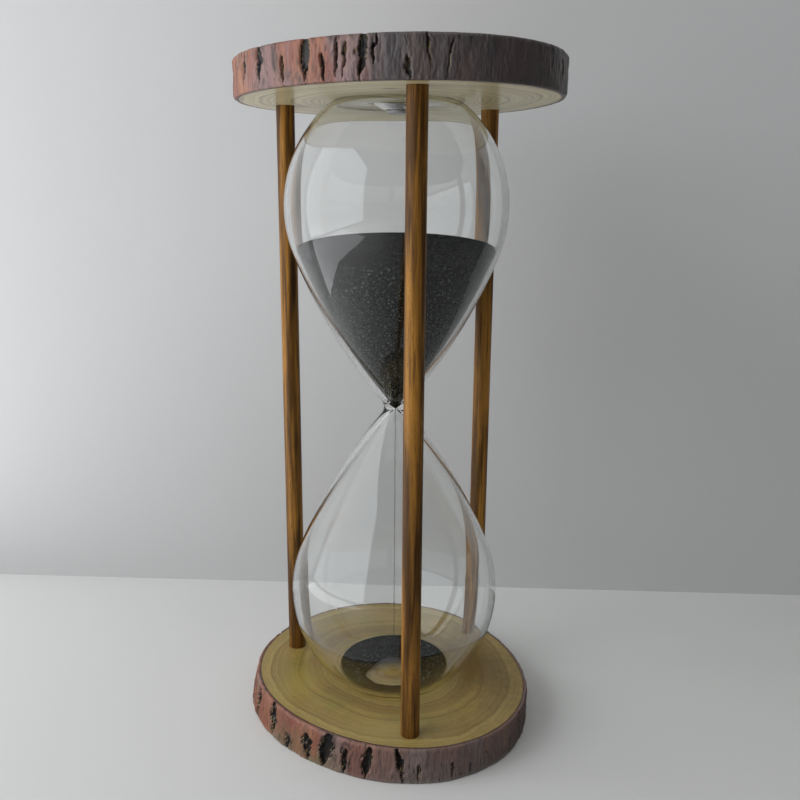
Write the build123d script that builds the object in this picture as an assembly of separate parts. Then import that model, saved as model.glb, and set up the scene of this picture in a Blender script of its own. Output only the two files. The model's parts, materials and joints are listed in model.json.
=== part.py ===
# Sand timer: two slices of one bough with the bark left on, three dowels and a blown glass vessel.
# Millimetres, +Z up. The origin is on the vessel's axis, on the underside of the base slice.
import os
from math import cos, hypot, radians, sin, sqrt

from build123d import *

# Slices of the bough
slice_gap = 308.0           # clear height between the two slices
base_thickness = 18.0
top_thickness = 18.0
base_rim = 9.5              # dowels to the outside of the bark, mean round the slice
top_rim = 12.9
top_shift = 1.9             # middle of the upper slice, off the axis in +X
bark_thickness = 3.0
base_flare = 3.5            # swell of the lower slice's foot, where the bough widened
base_flare_way = -150.0     # direction of that swell in degrees
outline_points = 48         # points of the closed curve round a slice
bough_lobes = (             # waves round the bough, swell as a share of the radius, its direction in degrees
    (1, 0.0195, 130.0),
    (2, 0.0545, -46.0),
    (3, 0.0169, -55.0),
)

# Furrows in the bark
furrow_count = 30
furrow_depth = 1.5
furrow_half_width = 1.9
furrow_reach = 0.83         # length of the longest furrow as a share of the slice's thickness
furrow_scatter = 0.32       # share of the pitch by which a furrow leaves its even place

# Dowels
post_diameter = 9.525       # three eighths of an inch
post_glass_gap = 1.45       # dowel to the widest ring of the glass
front_post_angle = -82.0
post_names = ("front_post", "right_post", "left_post")
socket_depth = 10.0
socket_clearance = 0.1      # all round the dowel
post_chamfer = 0.6

# Glass vessel, drawn for one bulb as heights over the neck
bulb_radius = 56.5          # outside, at the widest ring
belly_height = 103.0        # neck to widest ring
end_radius = 23.8           # flat end of the bulb, before its rounded edge
flank_radius = 280.0        # curve of the long flank
shoulder_radius = 18.0      # curve into the flat end
neck_radius = 6.2           # outside, where the glass is drawn thick
throat_radius = 6.0         # hollow curve outside the neck
bore_radius = 0.9
pinch_radius = 2.5          # hollow curve inside the neck
wall = 2.0
punt_radius = 12.0          # pushed-in middle of each end
punt_height = 4.5
seat_depth = 1.5            # recess in each slice that locates the vessel
seat_end_gap = 0.15         # play at each end of the vessel
seat_clearance = 0.4        # all round the vessel's end

# Stopper of the filling hole
plug_radius = 4.5
plug_clearance = 0.05
plug_head_overlap = 1.5     # head beyond the hole
plug_head_thickness = 1.2
plug_reach = 1.0            # stem past the inside of the glass

# Sand
sand_clearance = 0.15       # grains to glass
upper_sand_level = 83.0     # over the neck, on the axis
upper_sand_tilt = 6.5       # degrees, the far side lies higher
lower_sand_depth = 1.6
stream_radius = 0.5

neck_level = base_thickness + slice_gap / 2
half_length = slice_gap / 2 + seat_depth - seat_end_gap
post_radius = post_diameter / 2
post_circle_radius = bulb_radius + post_glass_gap + post_radius
base_radius = post_circle_radius + post_radius + base_rim
top_radius = post_circle_radius + post_radius + top_rim


def bough_radius(angle, mean_radius):
    swell = sum(share * cos(radians(waves * (angle - way))) for waves, share, way in bough_lobes)
    return mean_radius * (1 + swell)


def foot_swell(angle, flare):
    return flare * (0.5 + 0.5 * cos(radians(angle - base_flare_way))) ** 2


def bough_outline(mean_radius, inset=0.0, flare=0.0):
    points = []
    for k in range(outline_points):
        angle = 360 * k / outline_points
        reach = bough_radius(angle, mean_radius) + foot_swell(angle, flare) - inset
        points.append((reach * cos(radians(angle)), reach * sin(radians(angle))))
    return make_face(Spline(points, periodic=True))


def post_place(k):
    angle = radians(front_post_angle + 120 * k)
    return post_circle_radius * cos(angle), post_circle_radius * sin(angle)


def wood_disc(mean_radius, thickness):
    return extrude(bough_outline(mean_radius, bark_thickness), thickness)


def turned(section):
    return revolve(Plane.XZ * section, Axis.Z)


def furrow_cutter(k, mean_radius, flare, thickness):
    # a pointed pit, half a pitch off the seam of the outline, which starts at angle 0
    pitch = 360 / furrow_count
    angle = pitch * (k + 0.5 + furrow_scatter * sin(2.6 * k))
    half = furrow_reach * thickness / 2 * (0.8 + 0.2 * sin(1.7 * k))
    corners = ((0, -half), (furrow_half_width, 0), (0, half), (-furrow_half_width, 0))
    surface = bough_radius(angle, mean_radius) + foot_swell(angle, flare) / 2
    bottom = Plane(origin=(surface - furrow_depth, 0, thickness / 2), x_dir=(0, 1, 0), z_dir=(1, 0, 0))
    pit = extrude(bottom * make_face(Polyline(*corners, close=True)), 2 * furrow_depth + flare)
    return Rot(0, 0, angle) * pit


def bark_blank(mean_radius, thickness, flare):
    brim = bough_outline(mean_radius)
    if flare == 0:
        return extrude(brim, thickness)
    return loft([bough_outline(mean_radius, flare=flare), Pos(0, 0, thickness) * brim], ruled=True)


def bark_ring(mean_radius, thickness, flare):
    blank = bark_blank(mean_radius, thickness, flare)
    blank = blank - [furrow_cutter(k, mean_radius, flare, thickness) for k in range(furrow_count)]
    return blank - wood_disc(mean_radius, thickness)


def post_solid(k):
    length = slice_gap + 2 * socket_depth
    x, y = post_place(k)
    rod = Cylinder(post_radius, length)
    rod = chamfer(rod.edges().filter_by(GeomType.CIRCLE), post_chamfer)
    return Pos(x, y, neck_level) * rod


def socket_cutters(face_level, way):
    socket = Cylinder(post_radius + socket_clearance, socket_depth)
    return [Pos(*post_place(k), face_level + way * socket_depth / 2) * socket for k in range(3)]


def arc_about(centre, start, end):
    # the arc from start to end that keeps its distance from the centre
    middle = ((start[0] + end[0]) / 2 - centre[0], (start[1] + end[1]) / 2 - centre[1])
    stretch = hypot(start[0] - centre[0], start[1] - centre[1]) / hypot(*middle)
    return ThreePointArc(start, (centre[0] + stretch * middle[0], centre[1] + stretch * middle[1]), end)


def along(start, towards, distance):
    length = hypot(towards[0] - start[0], towards[1] - start[1])
    share = distance / length
    return start[0] + share * (towards[0] - start[0]), start[1] + share * (towards[1] - start[1])


def bulb_arcs(inset):
    # centres and radii of the four tangent arcs of one bulb, set in from the outside of the glass;
    # the glass is drawn thick at the neck, so the inside has its own pinch there
    if inset > 0:
        throat_curve = pinch_radius + inset - wall
        throat = (bore_radius + pinch_radius, 0.0)
    else:
        throat_curve = throat_radius
        throat = (neck_radius + throat_radius, 0.0)
    shoulder = (end_radius, half_length - shoulder_radius)
    inward, rise = bulb_radius - end_radius, shoulder[1] - belly_height
    belly_radius = (inward ** 2 + rise ** 2 - shoulder_radius ** 2) / (2 * (inward - shoulder_radius))
    belly = (bulb_radius - belly_radius, belly_height)
    belly_curve = belly_radius - inset
    flank_curve = flank_radius - inset
    to_belly = flank_curve - belly_curve
    to_throat = flank_curve + throat_curve
    apart = hypot(throat[0] - belly[0], throat[1] - belly[1])
    foot = (to_belly ** 2 - to_throat ** 2 + apart ** 2) / (2 * apart)
    offset = sqrt(to_belly ** 2 - foot ** 2)
    ux, uy = (throat[0] - belly[0]) / apart, (throat[1] - belly[1]) / apart
    flank = (belly[0] + foot * ux + offset * uy, belly[1] + foot * uy - offset * ux)
    return (throat, flank, belly, shoulder), (throat_curve, flank_curve, belly_curve)


def punt_sphere():
    radius = (punt_radius ** 2 + punt_height ** 2) / (2 * punt_height)
    return radius, half_length - punt_height + radius


def bulb_edge(inset, way, stop_radius=0.0):
    # half section of one bulb from the neck to its pushed-in end, set in from the outside of the glass;
    # way is 1 for the upper bulb and -1 for the lower one
    (throat, flank, belly, shoulder), (throat_curve, flank_curve, belly_curve) = bulb_arcs(inset)
    ball_radius, ball_height = punt_sphere()
    ball_radius += inset
    end_level = half_length - inset
    neck = (throat[0] - throat_curve, 0.0)
    flank_start = along(flank, throat, flank_curve)
    flank_end = along(flank, belly, flank_curve)
    belly_end = along(belly, shoulder, belly_curve)
    flat_start = (shoulder[0], end_level)
    flat_end = (sqrt(ball_radius ** 2 - (ball_height - end_level) ** 2), end_level)
    stop = (stop_radius, ball_height - sqrt(ball_radius ** 2 - stop_radius ** 2))
    centres = (throat, flank, belly, shoulder, None, (0.0, ball_height))
    points = (neck, flank_start, flank_end, belly_end, flat_start, flat_end, stop)
    turn = [(r, way * height) for r, height in points]
    edges = []
    for k, centre in enumerate(centres):
        if centre is None:
            edges.append(Line(turn[k], turn[k + 1]))
        else:
            edges.append(arc_about((centre[0], way * centre[1]), turn[k], turn[k + 1]))
    return edges, turn[0], turn[-1]


def bulb_fill(inset, way):
    edges, neck, apex = bulb_edge(inset, way)
    return turned(make_face(edges + [Line(apex, (0.0, 0.0)), Line((0.0, 0.0), neck)]))


def glass_vessel():
    outside_top, _, hole_outside = bulb_edge(0.0, 1, plug_radius)
    inside_top, _, hole_inside = bulb_edge(wall, 1, plug_radius)
    outside_foot, _, foot_outside = bulb_edge(0.0, -1)
    inside_foot, _, foot_inside = bulb_edge(wall, -1)
    closing = [Line(hole_outside, hole_inside), Line(foot_outside, foot_inside)]
    section = make_face(outside_top + inside_top + outside_foot + inside_foot + closing)
    return Pos(0, 0, neck_level) * turned(section)


def fill_plug():
    ball_radius, ball_height = punt_sphere()
    head_radius = plug_radius + plug_head_overlap
    head_level = ball_height - sqrt(ball_radius ** 2 - head_radius ** 2)
    stem_radius = plug_radius - plug_clearance
    stem_end = ball_height - sqrt((ball_radius + wall) ** 2 - stem_radius ** 2) - plug_reach
    head = Pos(0, 0, head_level + plug_head_thickness / 2) * Cylinder(head_radius, plug_head_thickness)
    stem = Pos(0, 0, (head_level + stem_end) / 2) * Cylinder(stem_radius, head_level - stem_end)
    return Pos(0, 0, neck_level) * (head + stem)


def seat_cutter(floor_level, way):
    shoulder = bulb_arcs(0.0)[0][3]
    sunk = seat_depth - seat_end_gap
    end_radius = shoulder[0] + sqrt(shoulder_radius ** 2 - (shoulder_radius - sunk) ** 2)
    return Pos(0, 0, floor_level + way * seat_depth / 2) * Cylinder(end_radius + seat_clearance, seat_depth)


def upper_sand():
    fill = bulb_fill(wall + sand_clearance, 1)
    surface = Plane((0, 0, upper_sand_level), z_dir=Vector(0, 0, 1).rotate(Axis.X, upper_sand_tilt))
    return Pos(0, 0, neck_level) * split(fill, surface, keep=Keep.BOTTOM)


def lower_sand():
    fill = bulb_fill(wall + sand_clearance, -1)
    level = lower_sand_depth + wall + sand_clearance - half_length
    return Pos(0, 0, neck_level) * split(fill, Plane((0, 0, level)), keep=Keep.BOTTOM)


def sand_stream():
    ball_radius, ball_height = punt_sphere()
    fall = ball_height - ball_radius - wall
    return Pos(0, 0, neck_level - fall / 2) * Cylinder(stream_radius, fall)


def base_slice():
    face = base_thickness
    wood = wood_disc(base_radius, base_thickness) - socket_cutters(face, -1) - seat_cutter(face, -1)
    return wood, bark_ring(base_radius, base_thickness, base_flare)


def top_slice():
    face = base_thickness + slice_gap
    place = Pos(top_shift, 0, face)
    wood = place * wood_disc(top_radius, top_thickness) - socket_cutters(face, 1) - seat_cutter(face, 1)
    return wood, place * bark_ring(top_radius, top_thickness, 0.0)


parts = {}
parts["base_wood"], parts["base_bark"] = base_slice()
parts["top_wood"], parts["top_bark"] = top_slice()
for k, name in enumerate(post_names):
    parts[name] = post_solid(k)
parts["glass_vessel"] = glass_vessel()
parts["fill_plug"] = fill_plug()
parts["upper_sand"] = upper_sand()
parts["sand_stream"] = sand_stream()
parts["lower_sand"] = lower_sand()

os.makedirs("parts", exist_ok=True)
for name, shape in parts.items():
    shape.label = name
    export_step(shape, f"parts/{name}.step")
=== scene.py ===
import json
import math
import random

import bpy
from mathutils import Matrix, Vector, noise

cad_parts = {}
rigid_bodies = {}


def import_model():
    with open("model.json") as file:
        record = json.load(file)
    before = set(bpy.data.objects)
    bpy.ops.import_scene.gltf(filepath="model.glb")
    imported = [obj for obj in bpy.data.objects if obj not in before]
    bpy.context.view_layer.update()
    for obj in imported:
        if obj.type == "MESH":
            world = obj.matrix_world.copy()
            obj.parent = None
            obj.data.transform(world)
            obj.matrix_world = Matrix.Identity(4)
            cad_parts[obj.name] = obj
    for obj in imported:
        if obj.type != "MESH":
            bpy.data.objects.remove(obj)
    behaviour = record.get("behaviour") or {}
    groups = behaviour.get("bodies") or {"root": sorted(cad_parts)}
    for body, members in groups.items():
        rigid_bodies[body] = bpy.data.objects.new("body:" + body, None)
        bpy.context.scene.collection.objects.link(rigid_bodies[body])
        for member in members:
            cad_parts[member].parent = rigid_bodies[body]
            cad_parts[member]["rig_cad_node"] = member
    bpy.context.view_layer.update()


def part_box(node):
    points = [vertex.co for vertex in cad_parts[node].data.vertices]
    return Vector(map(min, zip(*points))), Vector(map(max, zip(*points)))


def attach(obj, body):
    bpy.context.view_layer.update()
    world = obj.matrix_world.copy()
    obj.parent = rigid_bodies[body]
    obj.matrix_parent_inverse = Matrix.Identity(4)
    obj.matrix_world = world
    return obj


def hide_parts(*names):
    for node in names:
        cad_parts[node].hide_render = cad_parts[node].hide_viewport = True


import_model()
mm = 0.001

# node building

def plug(tree, value, socket):
    if isinstance(value, bpy.types.NodeSocket):
        tree.links.new(value, socket)
    else:
        socket.default_value = value


def addNode(tree, kind, inputs=None, **settings):
    made = tree.nodes.new(kind)
    for name, value in settings.items():
        setattr(made, name, value)
    for key, value in (inputs or {}).items():
        plug(tree, value, made.inputs[key])
    return made


def maths(tree, operation, *values, clamp=False):
    made = addNode(tree, "ShaderNodeMath", dict(enumerate(values)), operation=operation, use_clamp=clamp)
    return made.outputs[0]


def product(tree, first, second):
    return maths(tree, "MULTIPLY", first, second)


def total(tree, first, second):
    return maths(tree, "ADD", first, second)


def inverse(tree, share):
    return maths(tree, "SUBTRACT", 1.0, share)


def vectorMaths(tree, operation, *values, result=0):
    made = addNode(tree, "ShaderNodeVectorMath", dict(enumerate(values)), operation=operation)
    return made.outputs[result]


def lengthOf(tree, vector):
    return vectorMaths(tree, "LENGTH", vector, result="Value")


def stretched(tree, place, scale):
    return vectorMaths(tree, "MULTIPLY", place, scale)


def drawnOut(tree, place, share):
    # the smaller the share, the longer a noise runs along z
    return stretched(tree, place, (1.0, 1.0, share))


def flatPlace(tree, x, y):
    return addNode(tree, "ShaderNodeCombineXYZ", {0: x, 1: y}).outputs[0]


def noiseValue(tree, place, scale, detail=3.0, roughness=0.55, distortion=0.0):
    made = addNode(tree, "ShaderNodeTexNoise", {
        "Vector": place, "Scale": scale, "Detail": detail, "Roughness": roughness, "Distortion": distortion})
    return made.outputs["Fac"]


def lineNoise(tree, position, scale, detail):
    made = addNode(tree, "ShaderNodeTexNoise", {"W": position, "Scale": scale, "Detail": detail},
                   noise_dimensions="1D")
    return made.outputs["Fac"]


def meshValue(tree, name):
    return addNode(tree, "ShaderNodeAttribute", attribute_name=name).outputs["Fac"]


def band(tree, value, low, high):
    made = addNode(tree, "ShaderNodeMapRange", {"Value": value, "From Min": low, "From Max": high},
                   interpolation_type="SMOOTHSTEP")
    return made.outputs["Result"]


def mixColour(tree, fac, first, second):
    made = addNode(tree, "ShaderNodeMix", {0: fac}, data_type="RGBA")
    for socket, value in ((made.inputs[6], first), (made.inputs[7], second)):
        plug(tree, (*value, 1) if isinstance(value, tuple) else value, socket)
    return made.outputs[2]


def stained(tree, colour, mask, share, stain):
    return mixColour(tree, product(tree, mask, share), colour, stain)


def bumped(tree, height, strength, distance, normal=None):
    inputs = {"Height": height, "Strength": strength, "Distance": distance}
    if normal is not None:
        inputs["Normal"] = normal
    return addNode(tree, "ShaderNodeBump", inputs).outputs["Normal"]


def freshMaterial(name):
    material = bpy.data.materials.new(name)
    material.use_nodes = True
    tree = material.node_tree
    tree.nodes.clear()
    shader = addNode(tree, "ShaderNodeBsdfPrincipled")
    addNode(tree, "ShaderNodeOutputMaterial", {"Surface": shader.outputs[0]})
    place = addNode(tree, "ShaderNodeTexCoord").outputs["Object"]
    return material, tree, shader, place


def clearWhere(tree, shader, fac, tint):
    # light goes straight through where fac is 1
    clear = addNode(tree, "ShaderNodeBsdfTransparent", {"Color": (*tint, 1)})
    both = addNode(tree, "ShaderNodeMixShader", {0: fac, 1: shader.outputs[0], 2: clear.outputs[0]})
    output = next(node for node in tree.nodes if node.bl_idname == "ShaderNodeOutputMaterial")
    tree.links.new(both.outputs[0], output.inputs["Surface"])


def feed(tree, shader, **sockets):
    for name, value in sockets.items():
        plug(tree, value, shader.inputs[name.replace("_", " ")])


def freshTree(name, kind, inputs, outputs):
    tree = bpy.data.node_groups.new(name, kind)
    for way, sockets in (("INPUT", inputs), ("OUTPUT", outputs)):
        for label, socket in sockets.items():
            tree.interface.new_socket(label, in_out=way, socket_type=f"NodeSocket{socket}")
    return tree, tree.nodes.new("NodeGroupInput"), tree.nodes.new("NodeGroupOutput")


def useGroup(tree, group, inputs):
    return addNode(tree, "ShaderNodeGroup", inputs, node_tree=group).outputs


# the bough that both slices were sawn from

bough = {
    "lobes": ((1, 0.0195, 130.0), (2, 0.0545, -46.0), (3, 0.0169, -55.0)),  # waves, swell share, direction
    "barkThickness": 3.0 * mm,
    "flareWay": -150.0,
}
# knots and dark patches: place, turn, 1 / half size, colour, share of that colour, where it starts to fade
slices = {
    "base": {
        "radius": 76.975 * mm, "shift": 0.0, "flare": 3.5 * mm, "seed": 11,
        # the last colour here is painted shade for the dark front and right side of the base's bark
        "rings": 0.5, "hearts": 0.85, "bleach": 0.0, "seatShadow": 0.75, "dusk": (0.172, 0.149, 0.141),
        "knotsAndShade": (
            # a broad dark patch over the right of the base's face: partly the wood's own darker band, partly
            # painted shade
            {"at": (50 * mm, 2 * mm, 0), "turn": -20.0, "squeeze": (27.0, 16.0, 0.0),
             "colour": (0.095, 0.052, 0.016), "share": 0.8, "core": 0.3},
            {"at": (-52 * mm, -18 * mm, 0), "turn": 35.0, "squeeze": (60.0, 34.0, 0.0),
             "colour": (0.40, 0.31, 0.075), "share": 0.5, "core": 0.3},
            {"at": (4 * mm, -60 * mm, 0), "turn": 4.0, "squeeze": (24.0, 75.0, 0.0),
             "colour": (0.46, 0.345, 0.125), "share": 0.55, "core": 0.3},
        ),
    },
    "top": {
        "radius": 80.375 * mm, "shift": 1.9 * mm, "flare": 0.0, "seed": 29,
        # the last colour here is painted shade for the dark front and right side of the top's bark
        "rings": 0.6, "hearts": 0.22, "bleach": 0.85, "seatShadow": 0.0, "dusk": (0.070, 0.069, 0.072),
        "knotsAndShade": (
            {"at": (-3 * mm, -50 * mm, 0), "turn": 5.0, "squeeze": (200.0, 330.0, 0.0),
             "colour": (0.12, 0.09, 0.05), "share": 0.85, "core": 0.5},
            {"at": (32 * mm, -34 * mm, 0), "turn": 20.0, "squeeze": (80.0, 150.0, 0.0),
             "colour": (0.56, 0.48, 0.22), "share": 0.55, "core": 0.3},
        ),
    },
}


def boughReach(angle, meanRadius):
    swell = sum(share * math.cos(waves * (angle - math.radians(way))) for waves, share, way in bough["lobes"])
    return meanRadius * (1 + swell)


def boughGroup():
    # growth depth: distance from the pith in metres, as if the bough were round
    group, given, out = freshTree("boughRings", "ShaderNodeTree", {"Place": "Vector"},
                                  {"Depth": "Float", "Angle": "Float"})
    parts = addNode(group, "ShaderNodeSeparateXYZ", {0: given.outputs["Place"]}).outputs
    angle = maths(group, "ARCTAN2", parts["Y"], parts["X"])
    radius = lengthOf(group, flatPlace(group, parts["X"], parts["Y"]))
    swell = 1.0
    for waves, share, way in bough["lobes"]:
        turned = product(group, maths(group, "SUBTRACT", angle, math.radians(way)), waves)
        swell = total(group, swell, product(group, maths(group, "COSINE", turned), share))
    group.links.new(maths(group, "DIVIDE", radius, swell), out.inputs["Depth"])
    group.links.new(angle, out.inputs["Angle"])
    return group


def wearGroup():
    # brushed lacquer and handling: small changes of gloss and a fine uneven film
    group, given, out = freshTree("lacquerWear", "ShaderNodeTree",
                                  {"Place": "Vector", "Gloss": "Float", "Spread": "Float"},
                                  {"Roughness": "Float", "Film": "Float"})
    broad = noiseValue(group, given.outputs["Place"], 38.0, 4.0)
    fine = noiseValue(group, given.outputs["Place"], 900.0, 2.0)
    mixed = total(group, product(group, broad, 0.7), product(group, fine, 0.3))
    swing = product(group, maths(group, "SUBTRACT", mixed, 0.5), given.outputs["Spread"])
    roughness = maths(group, "ADD", given.outputs["Gloss"], swing, clamp=True)
    group.links.new(roughness, out.inputs["Roughness"])
    group.links.new(mixed, out.inputs["Film"])
    return group


boughRings = boughGroup()
lacquerWear = wearGroup()


def wornGloss(tree, place, gloss, spread):
    return useGroup(tree, lacquerWear, {"Place": place, "Gloss": gloss, "Spread": spread})


# sawn faces of the slices

endGrain = {
    "early": (0.40, 0.268, 0.075),
    "late": (0.115, 0.062, 0.016),
    "green": (0.295, 0.232, 0.060),
    "heart": (0.195, 0.102, 0.026),
    "sap": (0.48, 0.365, 0.135),
    "weathered": (0.66, 0.585, 0.36),
    "ringPitch": 3.4 * mm,
    "drift": 10 * mm,  # slow wander of the rings
    "ripple": 1.1 * mm,
    "sapInside": 20 * mm,  # sapwood starts this far inside the bark
    "sapOutside": 6 * mm,
    "sapShare": 0.55,
    "seatLine": 31.4 * mm,  # radius of the edge of the glass's seat
    "seatBlur": (0.2 * mm, 0.9 * mm),
    "grainDepth": 0.12 * mm,
    "filmDepth": 0.2 * mm,
}


def knotAndShadeMask(tree, place, knotOrShade):
    offset = vectorMaths(tree, "SUBTRACT", place, knotOrShade["at"])
    turned = addNode(tree, "ShaderNodeVectorRotate", {"Vector": offset, "Angle": math.radians(knotOrShade["turn"])},
                     rotation_type="Z_AXIS").outputs[0]
    reach = lengthOf(tree, stretched(tree, turned, knotOrShade["squeeze"]))
    ragged = total(tree, reach, product(tree, noiseValue(tree, place, 220.0), 0.5))
    return inverse(tree, band(tree, ragged, knotOrShade["core"], 1.3))


def seatShadowMask(tree, place):
    # painted contact shadow along the edge of the glass's seat
    fromAxis = lengthOf(tree, drawnOut(tree, place, 0.0))
    offLine = maths(tree, "ABSOLUTE", maths(tree, "SUBTRACT", fromAxis, endGrain["seatLine"]))
    return inverse(tree, band(tree, offLine, *endGrain["seatBlur"]))


def endGrainMaterial(name, look):
    material, tree, shader, place = freshMaterial(name)
    centred = vectorMaths(tree, "SUBTRACT", place, (look["shift"], 0, 0))
    growth = useGroup(tree, boughRings, {"Place": centred})
    drift = noiseValue(tree, place, 24.0, 3.0)
    ripple = noiseValue(tree, place, 130.0, 2.0)
    depth = total(tree, growth["Depth"], product(tree, drift, endGrain["drift"]))
    depth = total(tree, depth, product(tree, ripple, endGrain["ripple"]))
    broadBands = lineNoise(tree, depth, 95.0, 2.0)
    fineBands = lineNoise(tree, depth, 420.0, 3.0)
    years = maths(tree, "DIVIDE", depth, endGrain["ringPitch"])
    phase = maths(tree, "FRACT", total(tree, years, product(tree, broadBands, 2.5)))
    lateWood = product(tree, band(tree, phase, 0.30, 0.90), inverse(tree, band(tree, phase, 0.92, 1.0)))
    lateWood = product(tree, lateWood, band(tree, fineBands, 0.25, 0.70))
    # fibres run round the bough, rays run outwards from the pith
    around = flatPlace(tree, product(tree, growth["Angle"], 14.0), product(tree, depth, 900.0))
    outwards = flatPlace(tree, product(tree, growth["Angle"], 60.0), product(tree, depth, 60.0))
    fibres = noiseValue(tree, around, 1.0, 4.0, 0.65)
    rays = noiseValue(tree, outwards, 1.6, 3.0)
    mottle = noiseValue(tree, place, 48.0, 4.0, 0.6)
    pores = noiseValue(tree, place, 1500.0, 2.0)
    edge = look["radius"] - bough["barkThickness"]
    sapBand = band(tree, depth, edge - endGrain["sapInside"], edge + endGrain["sapOutside"])
    sapWood = product(tree, sapBand, endGrain["sapShare"])
    colour = mixColour(tree, band(tree, mottle, 0.38, 0.66), endGrain["early"], endGrain["green"])
    colour = mixColour(tree, sapWood, colour, endGrain["sap"])
    if look["bleach"]:
        colour = mixColour(tree, look["bleach"], colour, endGrain["weathered"])
    heart = product(tree, band(tree, broadBands, 0.44, 0.70), look["hearts"])
    heart = product(tree, heart, inverse(tree, product(tree, sapWood, 1.4)))  # fades towards the sapwood
    colour = mixColour(tree, heart, colour, endGrain["heart"])
    colour = stained(tree, colour, lateWood, look["rings"], endGrain["late"])
    colour = stained(tree, colour, band(tree, fibres, 0.48, 0.72), look["hearts"] * 0.5, endGrain["heart"])
    colour = stained(tree, colour, band(tree, rays, 0.55, 0.75), 0.20, endGrain["sap"])
    colour = stained(tree, colour, band(tree, pores, 0.60, 0.72), 0.35, endGrain["late"])
    # knots, and the base's dark patch on the right, which is partly painted shade
    for knotOrShade in look["knotsAndShade"]:
        colour = stained(tree, colour, knotAndShadeMask(tree, place, knotOrShade), knotOrShade["share"], knotOrShade["colour"])
    # painted contact shadow round the glass's seat on the base
    if look["seatShadow"]:
        colour = stained(tree, colour, seatShadowMask(tree, place), look["seatShadow"], endGrain["late"])
    wear = wornGloss(tree, place, 0.33, 0.25)
    height = total(tree, product(tree, lateWood, 0.5), product(tree, fibres, 0.5))
    normal = bumped(tree, height, 0.30, endGrain["grainDepth"])
    normal = bumped(tree, wear["Film"], 0.10, endGrain["filmDepth"], normal)
    feed(tree, shader, Base_Color=colour, Roughness=wear["Roughness"], Normal=normal,
         Specular_IOR_Level=0.3, Coat_Weight=0.15, Coat_Roughness=0.12)
    return material


barkLook = {
    "red": (0.230, 0.074, 0.048),
    "rust": (0.335, 0.140, 0.078),
    "plum": (0.235, 0.160, 0.155),
    "crust": (0.040, 0.026, 0.021),
    # near black deep in the furrows: partly the bark's own dark crust, partly painted shade
    "pit": (0.009, 0.007, 0.006),
    "lichen": (0.165, 0.150, 0.075),
    "ochre": (0.50, 0.36, 0.17),
    "sawnRim": (0.085, 0.040, 0.026),
    # share of the painted shade over the bark's dark side
    "duskShare": 0.88,
    "crustDepth": 0.7 * mm,
    "gritDepth": 0.15 * mm,
}


def barkMaterial(name, duskColour):
    material, tree, shader, place = freshMaterial(name)
    furrow, lip, moss, dusk = (meshValue(tree, layer) for layer in ("furrow", "lip", "moss", "dusk"))
    fibre = noiseValue(tree, drawnOut(tree, place, 0.22), 420.0, 4.0, 0.65)
    strand = noiseValue(tree, drawnOut(tree, place, 0.12), 900.0, 3.0, 0.6)
    patch = noiseValue(tree, drawnOut(tree, place, 0.3), 60.0, 4.0, 0.6)
    plumPatch = noiseValue(tree, drawnOut(tree, place, 0.3), 38.0, 3.0, 0.6, 0.6)
    crust = noiseValue(tree, drawnOut(tree, place, 0.45), 130.0, 5.0, 0.68, 0.5)
    grit = noiseValue(tree, place, 1500.0, 2.0)
    colour = mixColour(tree, band(tree, patch, 0.36, 0.64), barkLook["red"], barkLook["rust"])
    colour = stained(tree, colour, band(tree, plumPatch, 0.48, 0.66), 0.75, barkLook["plum"])
    colour = stained(tree, colour, band(tree, crust, 0.52, 0.66), 0.8, barkLook["crust"])
    colour = stained(tree, colour, band(tree, fibre, 0.52, 0.72), 0.45, barkLook["crust"])
    mossy = product(tree, moss, band(tree, crust, 0.36, 0.50))
    colour = stained(tree, colour, mossy, 0.9, barkLook["lichen"])
    # painted shade over the dark side of the bark, from the front to the right
    colour = stained(tree, colour, dusk, barkLook["duskShare"], duskColour)
    # furrows have frayed edges, a dark pit that is partly painted shade, and pale torn strands
    fray = total(tree, product(tree, fibre, 1.5), product(tree, strand, 1.1))
    ragged = total(tree, furrow, maths(tree, "SUBTRACT", fray, 1.3))
    pit = mixColour(tree, band(tree, strand, 0.45, 0.75), barkLook["pit"], barkLook["crust"])
    colour = mixColour(tree, band(tree, ragged, 0.20, 0.38), colour, pit)
    torn = product(tree, band(tree, furrow, 0.06, 0.25), inverse(tree, band(tree, furrow, 0.6, 0.95)))
    colour = stained(tree, colour, torn, band(tree, strand, 0.58, 0.64), barkLook["ochre"])
    colour = stained(tree, colour, band(tree, lip, 0.30, 0.45), 0.92, barkLook["sawnRim"])
    wear = wornGloss(tree, place, 0.45, 0.4)
    normal = bumped(tree, total(tree, fibre, product(tree, crust, 1.2)), 0.9, barkLook["crustDepth"])
    normal = bumped(tree, grit, 0.25, barkLook["gritDepth"], normal)
    feed(tree, shader, Base_Color=colour, Roughness=wear["Roughness"], Normal=normal,
         Coat_Weight=0.2, Coat_Roughness=0.2)
    return material


sliverLook = {"dark": (0.30, 0.19, 0.08), "pale": (0.62, 0.48, 0.26), "depth": 0.1 * mm}


def sliverMaterial():
    material, tree, shader, place = freshMaterial("barkSplinter")
    streak = noiseValue(tree, drawnOut(tree, place, 0.15), 1600.0, 3.0)
    feed(tree, shader, Base_Color=mixColour(tree, streak, sliverLook["dark"], sliverLook["pale"]),
         Roughness=wornGloss(tree, place, 0.5, 0.3)["Roughness"],
         Normal=bumped(tree, streak, 0.5, sliverLook["depth"]))
    return material


dowelLook = {
    "honey": (0.43, 0.195, 0.030),
    "brown": (0.085, 0.035, 0.006),
    "umber": (0.022, 0.010, 0.003),
    "grainDepth": 0.12 * mm,
}


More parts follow.
